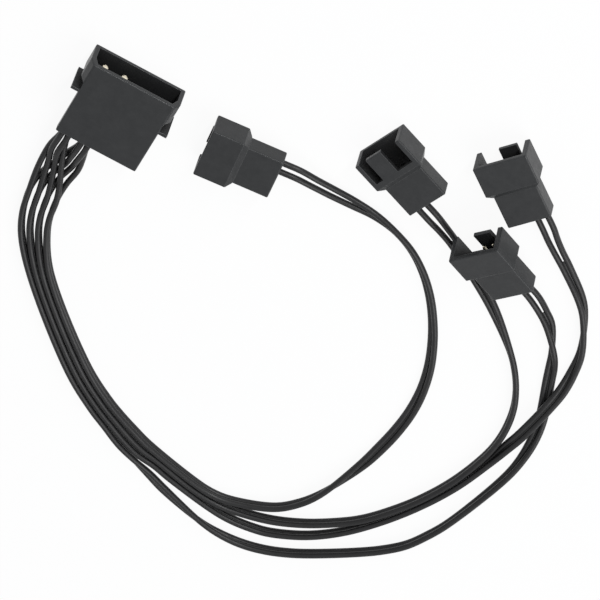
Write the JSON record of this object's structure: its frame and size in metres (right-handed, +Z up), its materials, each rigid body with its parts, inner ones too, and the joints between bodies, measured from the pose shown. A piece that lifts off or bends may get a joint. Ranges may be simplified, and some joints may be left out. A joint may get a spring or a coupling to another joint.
{
  "type": "fan splitter cable",
  "caption": "Black splitter cable: an open power plug with male pins feeds small fan plugs through flat pairs of wires, lying in a loose loop.",
  "frame": {"origin": "on the table, under the middle of the footprint of the plugs", "axes": "+Z up from the table; the power plug's open front faces +Y and the fan plugs lie towards +X"},
  "size_m": [0.1407, 0.1441, 0.0127],
  "materials": {
    "black_nylon": "moulded black nylon, fine satin grain",
    "tinned_brass": "tin plated brass, bright",
    "black_vinyl": "black vinyl insulation, soft gloss"
  },
  "bodies": {
    "root": {"power_plug_housing": "black_nylon", "power_pin_supply": "tinned_brass", "power_pin_return": "tinned_brass", "fan_plug_housing_1": "black_nylon", "fan_pin_supply_1": "tinned_brass", "fan_pin_return_1": "tinned_brass", "wire_supply_1": "black_vinyl", "wire_return_1": "black_vinyl", "fan_plug_housing_2": "black_nylon", "fan_pin_supply_2": "tinned_brass", "fan_pin_return_2": "tinned_brass", "wire_supply_2": "black_vinyl", "wire_return_2": "black_vinyl", "fan_plug_housing_3": "black_nylon", "fan_pin_supply_3": "tinned_brass", "fan_pin_return_3": "tinned_brass", "wire_supply_3": "black_vinyl", "wire_return_3": "black_vinyl", "fan_plug_housing_4": "black_nylon", "fan_pin_supply_4": "tinned_brass", "fan_pin_return_4": "tinned_brass", "wire_supply_4": "black_vinyl", "wire_return_4": "black_vinyl"}
  },
  "joints": []
}
